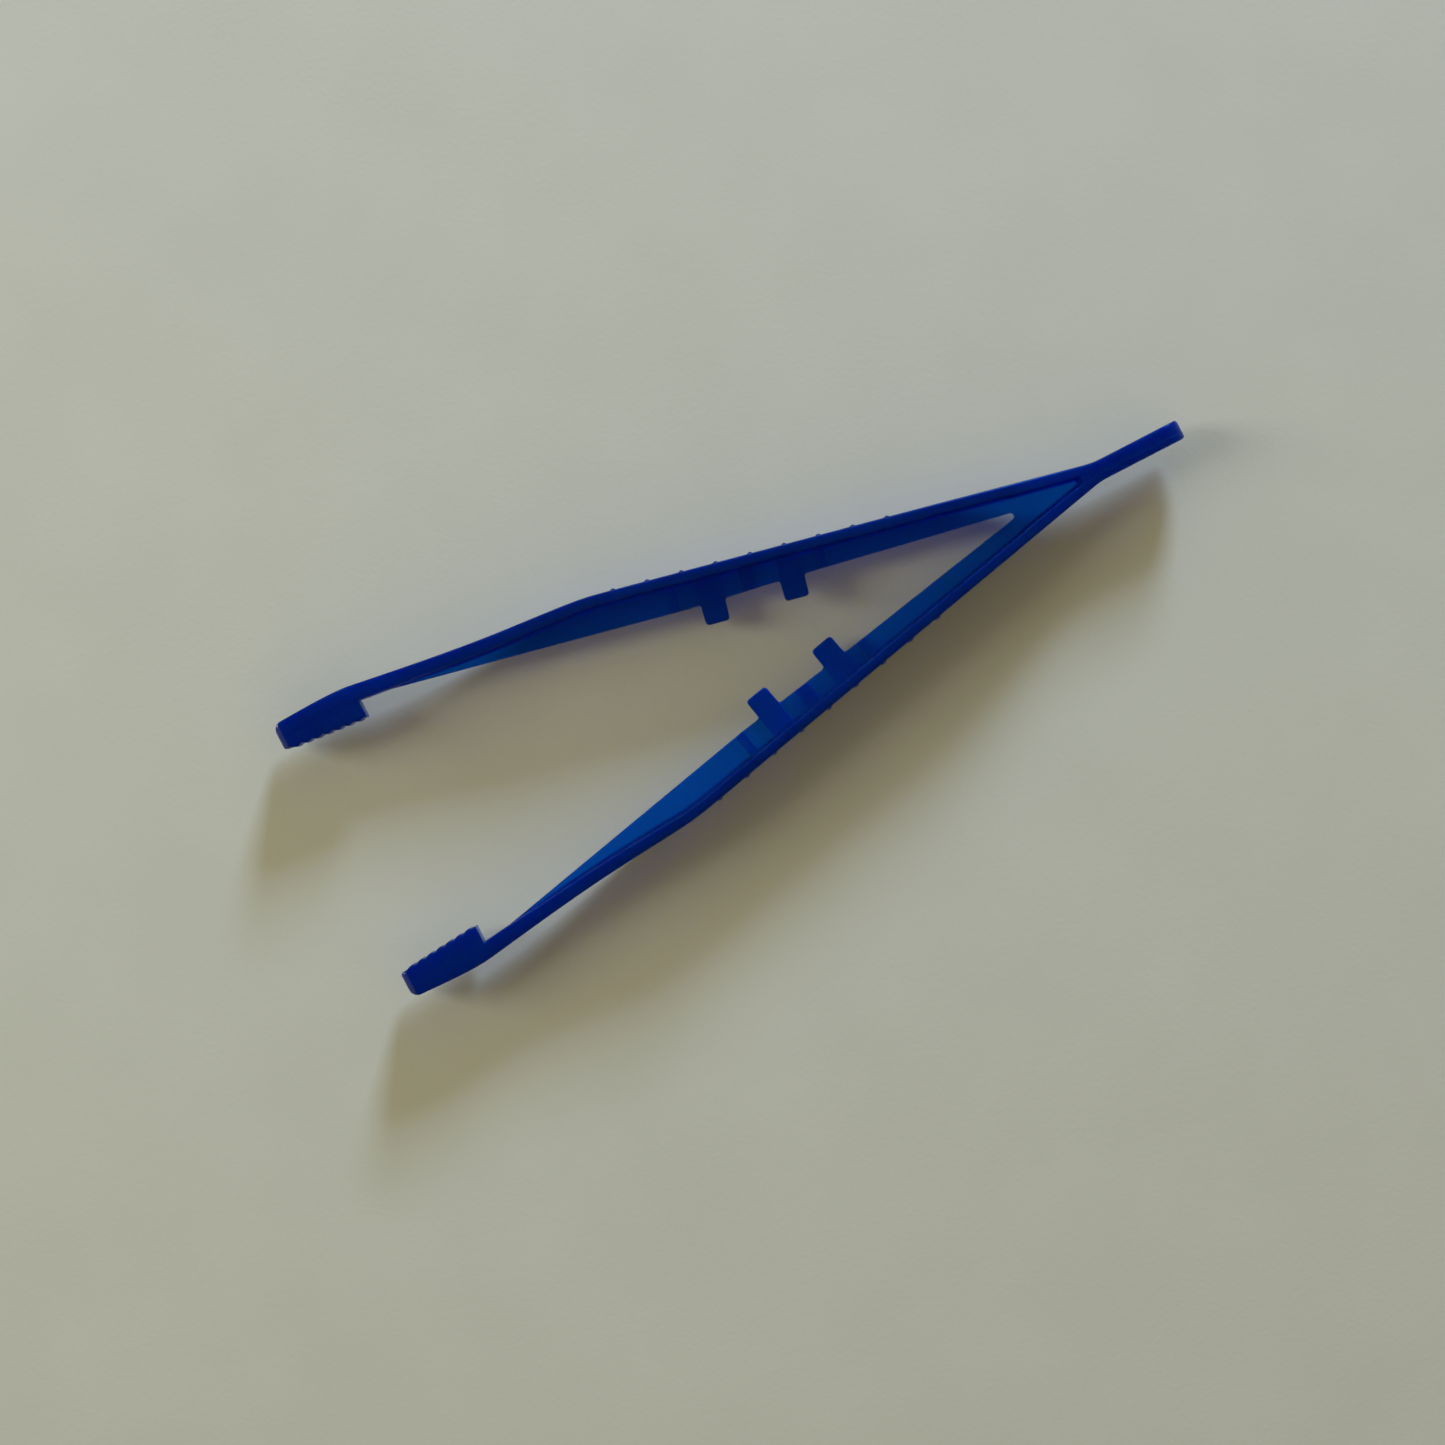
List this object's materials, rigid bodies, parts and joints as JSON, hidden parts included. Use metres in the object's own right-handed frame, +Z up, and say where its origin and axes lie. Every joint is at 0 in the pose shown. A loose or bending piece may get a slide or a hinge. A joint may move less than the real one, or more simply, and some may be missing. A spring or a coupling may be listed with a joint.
{
  "type": "plastic tweezers",
  "caption": "One-piece moulded tweezers with ribbed grips, thin inner webs, interlocking guide tabs and ridged square jaws that spring open.",
  "frame": {"origin": "on the resting plane, at the middle of the length and width; the tweezers lie on one side, open", "axes": "+X along the centre line from the tail to the tips, +Y towards the left arm, +Z up, across the width of the flanges"},
  "size_m": [0.13, 0.0426, 0.01],
  "materials": {
    "blue_plastic": "translucent blue, moulded satin gloss"
  },
  "bodies": {
    "tail": {"tail_tab": "blue_plastic", "spring_web": "blue_plastic", "left_root_flange": "blue_plastic", "right_root_flange": "blue_plastic"},
    "left_arm": {"left_grip_flange": "blue_plastic", "left_grip_ribs": "blue_plastic", "left_shank": "blue_plastic", "left_jaw": "blue_plastic", "left_rear_web": "blue_plastic", "left_guide_web": "blue_plastic", "left_front_web": "blue_plastic", "left_front_tab": "blue_plastic", "left_rear_tab": "blue_plastic"},
    "right_arm": {"right_grip_flange": "blue_plastic", "right_grip_ribs": "blue_plastic", "right_shank": "blue_plastic", "right_jaw": "blue_plastic", "right_rear_web": "blue_plastic", "right_guide_web": "blue_plastic", "right_front_web": "blue_plastic", "right_front_tab": "blue_plastic", "right_rear_tab": "blue_plastic"}
  },
  "joints": [
    {"name": "left_flex", "type": "hinge", "parent": "tail", "child": "left_arm", "pos_m": [-0.0391, 0, 0.005], "axis": [0, 0, -1], "range_deg": [0, 9.4], "stiffness_Nm_per_rad": 0.3},
    {"name": "right_flex", "type": "hinge", "parent": "tail", "child": "right_arm", "pos_m": [-0.0391, 0, 0.005], "axis": [0, 0, 1], "range_deg": [0, 9.4], "stiffness_Nm_per_rad": 0.3}
  ],
  "couplings": [
    {"joint": "right_flex", "follows": "left_flex", "ratio": 1}
  ]
}
